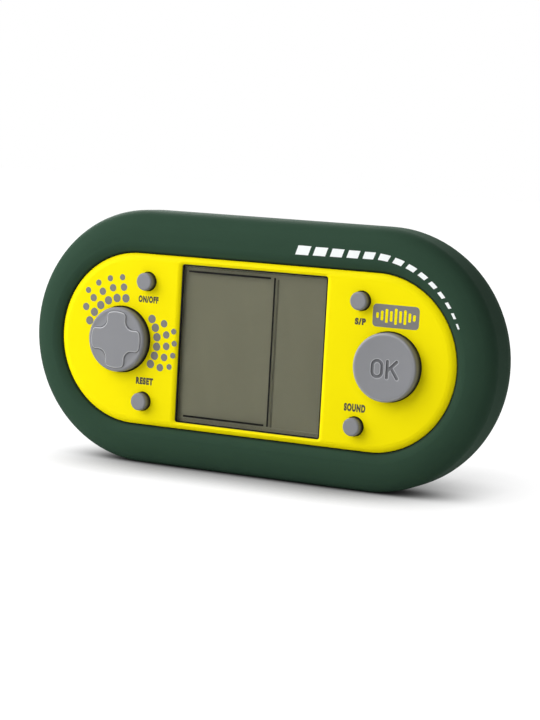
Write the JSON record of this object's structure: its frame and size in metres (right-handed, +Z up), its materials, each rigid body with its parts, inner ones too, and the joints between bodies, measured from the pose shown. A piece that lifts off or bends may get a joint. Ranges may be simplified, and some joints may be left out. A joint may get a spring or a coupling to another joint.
{
  "type": "handheld game console",
  "caption": "Handheld game console: rounded oblong case, face plate with a square liquid crystal screen, rocking direction pad, push keys and a hinged battery door.",
  "frame": {"origin": "middle of the bounding box in X and Y, on the floor under the lower long edge", "axes": "+X along the case to the right as seen from the face, +Y from the face to the back, +Z up the face"},
  "size_m": [0.154, 0.0278, 0.0774],
  "materials": {
    "case_green": "matte",
    "plate_yellow": "satin",
    "lens_clear": "gloss",
    "lcd_glass": "gloss",
    "reflector_foil": "matte",
    "frame_white": "matte",
    "seal_rubber": "matte",
    "strip_rubber": "matte",
    "board_laminate": "satin",
    "epoxy_black": "gloss",
    "crystal_can": "satin",
    "capacitor_sleeve": "gloss",
    "mat_rubber": "matte",
    "key_grey": "satin",
    "pivot_plastic": "satin",
    "carbon_pill": "matte",
    "buzzer_brass": "satin",
    "buzzer_ceramic": "satin",
    "wire_black": "satin",
    "wire_red": "satin",
    "cell_jacket": "satin",
    "contact_steel": "satin",
    "screw_steel": "satin"
  },
  "bodies": {
    "case": {"front_shell": "case_green", "rear_shell": "case_green", "faceplate": "plate_yellow", "screen_lens": "lens_clear", "window_seal": "seal_rubber", "lcd_panel": "lcd_glass", "lcd_reflector": "reflector_foil", "lcd_frame": "frame_white", "contact_strips": "strip_rubber", "main_board": "board_laminate", "chip_blob": "epoxy_black", "crystal": "crystal_can", "capacitors": "capacitor_sleeve", "left_key_mat": "mat_rubber", "right_key_mat": "mat_rubber", "buzzer_disc": "buzzer_brass", "buzzer_ceramic": "buzzer_ceramic", "buzzer_wires": "wire_black", "battery_upper": "cell_jacket", "battery_lower": "cell_jacket", "battery_springs": "contact_steel", "contact_plates": "contact_steel", "contact_bridge": "contact_steel", "battery_wires": "wire_red", "case_screws": "screw_steel", "board_screws": "screw_steel"},
    "dpad_rocker": {"dpad_pivot": "pivot_plastic"},
    "dpad_pad": {"dpad": "key_grey", "dpad_pills": "carbon_pill"},
    "ok_key": {"ok_button": "key_grey", "ok_pill": "carbon_pill"},
    "on_off_key": {"on_off_button": "key_grey", "on_off_pill": "carbon_pill"},
    "reset_key": {"reset_button": "key_grey", "reset_pill": "carbon_pill"},
    "start_key": {"start_button": "key_grey", "start_pill": "carbon_pill"},
    "sound_key": {"sound_button": "key_grey", "sound_pill": "carbon_pill"},
    "door": {"battery_door": "case_green"}
  },
  "joints": [
    {"name": "dpad_up_down", "type": "hinge", "parent": "case", "child": "dpad_rocker", "pos_m": [-0.04448, -0.00863, 0.0376], "axis": [1, 0, 0], "range_deg": [-4, 4], "stiffness_Nm_per_rad": 0.1},
    {"name": "dpad_left_right", "type": "hinge", "parent": "dpad_rocker", "child": "dpad_pad", "pos_m": [-0.04448, -0.00863, 0.0376], "axis": [0, 0, 1], "range_deg": [-4, 4], "stiffness_Nm_per_rad": 0.1},
    {"name": "ok_press", "type": "slide", "parent": "case", "child": "ok_key", "axis": [0, 1, 0], "range_m": [0, 0.0012], "stiffness_N_per_m": 1000},
    {"name": "on_off_press", "type": "slide", "parent": "case", "child": "on_off_key", "axis": [0, 1, 0], "range_m": [0, 0.001], "stiffness_N_per_m": 800},
    {"name": "reset_press", "type": "slide", "parent": "case", "child": "reset_key", "axis": [0, 1, 0], "range_m": [0, 0.001], "stiffness_N_per_m": 800},
    {"name": "start_press", "type": "slide", "parent": "case", "child": "start_key", "axis": [0, 1, 0], "range_m": [0, 0.001], "stiffness_N_per_m": 800},
    {"name": "sound_press", "type": "slide", "parent": "case", "child": "sound_key", "axis": [0, 1, 0], "range_m": [0, 0.001], "stiffness_N_per_m": 800},
    {"name": "door_swing", "type": "hinge", "parent": "case", "child": "door", "pos_m": [0.02745, 0.01388, 0.0387], "axis": [0, 0, -1], "range_deg": [0, 60]}
  ]
}
